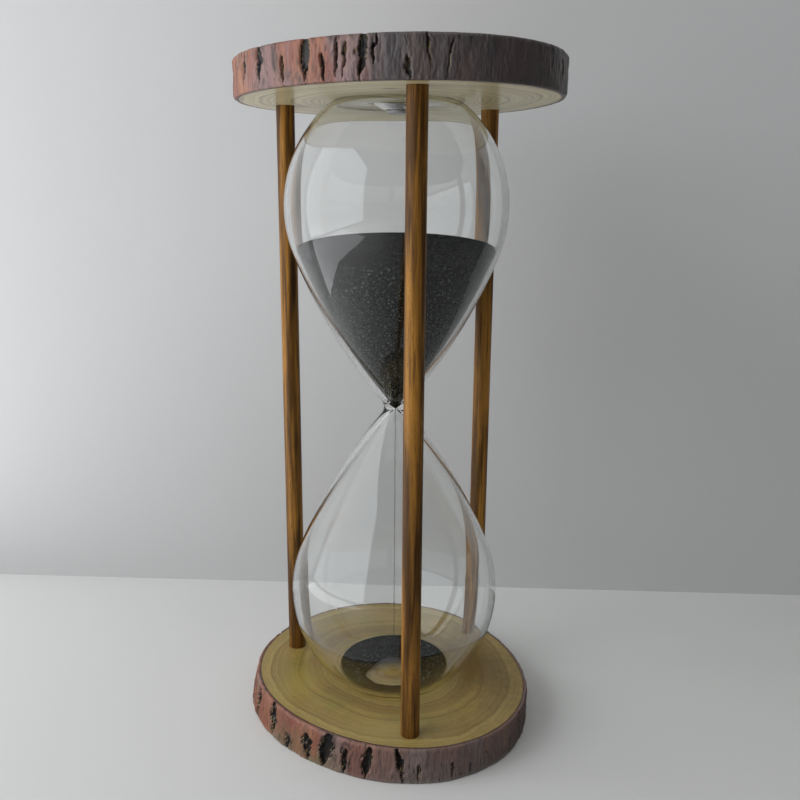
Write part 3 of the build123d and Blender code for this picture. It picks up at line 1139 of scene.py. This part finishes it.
streamBox = [Vector(corner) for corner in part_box("sand_stream")]
streamSeat = meshObject("stream_seat", [(0, 0, streamBox[1].z)], [], materials["grain"], smooth=False)
drop = (streamBox[1].z - streamBox[0].z - 2 * looseGrain["Grain"]) / stream["count"]
fallingSand = runTree(streamSeat, fallingGrains, {
    "Count": stream["count"], "Start": (0, 0, streamBox[1].z - looseGrain["Grain"]), "Drop": (0, 0, -drop),
    "Spread": stream["spread"], "Grain": looseGrain["Grain"] * stream["grainShare"], "Seed": stream["seed"],
    "Material": materials["grain"]}, "falling_sand")
bpy.data.objects.remove(streamSeat)
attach(fallingSand, "vessel")
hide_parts("sand_stream")
print("glass and sand made")

# finishes of the pieces that keep their turned shape

finishes = {
    "base_wood": "baseGrain", "top_wood": "topGrain", "front_post": "dowel", "right_post": "dowel",
    "left_post": "dowel", "fill_plug": "stopper",
}
for node, finish in finishes.items():
    body = next(o for o in bpy.context.scene.objects if o.get("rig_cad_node") == node)
    body.data.materials.clear()
    body.data.materials.append(materials[finish])
print("finishes set:", len(finishes))

# floor, backdrop, light and camera

stageLook = {
    "floor": (0.78, 0.785, 0.77),
    "wall": (0.66, 0.66, 0.66),
    "wallDistance": 143 * mm,
    "wallTurn": -2.4,
    "reach": 3.0,
    "roughness": 0.7,
    "world": (0.90, 0.92, 0.95),
    "worldStrength": 0.09,
}
cardLook = {
    "dark": (0.02, 0.02, 0.02),
    "roughness": 0.9,
    "fade": (-0.30, 0.03),  # from the floor's colour on the left to dark
    "corners": {
        "right_card": [(0.40, 0.10, 0), (0.40, -0.90, 0), (0.40, -0.90, 1.0), (0.40, 0.10, 1.0)],
        "lower_card": [(-0.30, -1.2, 0.002), (0.40, -1.2, 0.002), (0.40, 0.12, 0.002), (-0.30, 0.12, 0.002)],
    },
}
lights = {
    "window_light": {
        "at": (-0.80, -0.58, 0.62), "towards": (0.0, -0.58, 0.62), "size": (1.40, 1.18), "power": 8.4,
        "colour": (0.94, 0.968, 1.0), "seen": True, "inGloss": True},
    "sill_light": {
        "at": (-0.56, -0.25, 0.012), "towards": (-0.56, -0.25, 1.0), "size": (0.46, 0.66), "power": 2.0,
        "colour": (0.95, 0.96, 1.0), "seen": False, "inGloss": True},
    "ceiling_light": {
        "at": (0.15, -0.35, 1.35), "towards": (0.15, -0.35, 0.0), "size": (1.5, 1.2), "power": 4.3,
        "colour": (1.0, 0.995, 0.98), "seen": False, "inGloss": True},
    "key_light": {
        "at": (-1.10, -0.32, 0.70), "towards": (0.0, 0.0, 0.18), "size": (0.8, 0.8), "power": 3.8,
        "colour": (1, 1, 1), "seen": False, "inGloss": False},
}


def stageMaterial(name, colour, oneSided):
    material, tree, shader, place = freshMaterial(name)
    grain = noiseValue(tree, place, 300.0, 3.0)
    shade = stained(tree, colour, grain, 0.06, tuple(0.8 * c for c in colour))
    feed(tree, shader, Base_Color=shade, Roughness=stageLook["roughness"])
    if oneSided:
        clearWhere(tree, shader, addNode(tree, "ShaderNodeNewGeometry").outputs["Backfacing"], (1, 1, 1))
    return material


def cardMaterial():
    material, tree, shader, place = freshMaterial("shadeCard")
    across = addNode(tree, "ShaderNodeSeparateXYZ", {0: place}).outputs["X"]
    shade = mixColour(tree, band(tree, across, *cardLook["fade"]), stageLook["floor"], cardLook["dark"])
    feed(tree, shader, Base_Color=shade, Roughness=cardLook["roughness"])
    return material


def stagePlane(name, corners, material):
    made = meshObject(name, corners, [(0, 1, 2, 3)], material, smooth=False)
    return made


def areaLight(name, look):
    data = bpy.data.lights.new(name, "AREA")
    data.shape = "RECTANGLE"
    data.size, data.size_y = look["size"]
    data.energy = look["power"]
    data.color = look["colour"]
    made = bpy.data.objects.new(name, data)
    made.location = look["at"]
    made.rotation_mode = "QUATERNION"
    made.rotation_quaternion = (Vector(look["towards"]) - Vector(look["at"])).to_track_quat("-Z", "Y")
    made.visible_camera = made.visible_transmission = look["seen"]
    made.visible_glossy = look["inGloss"]
    bpy.context.scene.collection.objects.link(made)


reach = stageLook["reach"]
stagePlane("floor", [(-reach, -reach, 0), (reach, -reach, 0), (reach, reach, 0), (-reach, reach, 0)],
           stageMaterial("paleFloor", stageLook["floor"], False))
slope = math.tan(math.radians(stageLook["wallTurn"]))
left, right = ((x, stageLook["wallDistance"] + x * slope) for x in (-reach, reach))
stagePlane("wall", [(*left, 0), (*right, 0), (*right, reach), (*left, reach)],
           stageMaterial("paleWall", stageLook["wall"], True))

# dark cards to the right and below show only in gloss, where they deepen the black of the sand
shadeCard = cardMaterial()
for name, corners in cardLook["corners"].items():
    card = stagePlane(name, corners, shadeCard)
    card.visible_camera = card.visible_diffuse = card.visible_transmission = card.visible_shadow = False

world = bpy.data.worlds.new("studio")
world.use_nodes = True
background = world.node_tree.nodes["Background"]
background.inputs["Color"].default_value = (*stageLook["world"], 1)
background.inputs["Strength"].default_value = stageLook["worldStrength"]
bpy.context.scene.world = world
for name, look in lights.items():
    areaLight(name, look)

cameraLook = {"at": (2.44 * mm, -434.98 * mm, 279.55 * mm), "pitch": 13.438, "roll": 0.446,
              "focalPixels": 840.95, "imagePixels": 800, "sensor": 36.0, "clip": (0.01, 20)}
cameraData = bpy.data.cameras.new("photo_camera")
cameraData.sensor_width = cameraLook["sensor"]
cameraData.lens = cameraLook["sensor"] * cameraLook["focalPixels"] / cameraLook["imagePixels"]
cameraData.clip_start, cameraData.clip_end = cameraLook["clip"]
camera = bpy.data.objects.new("photo_camera", cameraData)
tilt = Matrix.Rotation(math.radians(90 - cameraLook["pitch"]), 4, "X")
camera.matrix_world = (Matrix.Translation(cameraLook["at"]) @ tilt
                       @ Matrix.Rotation(math.radians(cameraLook["roll"]), 4, "Z"))
bpy.context.scene.collection.objects.link(camera)
bpy.context.scene.camera = camera
bpy.context.scene.view_settings.view_transform = "Standard"
print("stage, lights and camera set")

print("scene ready")
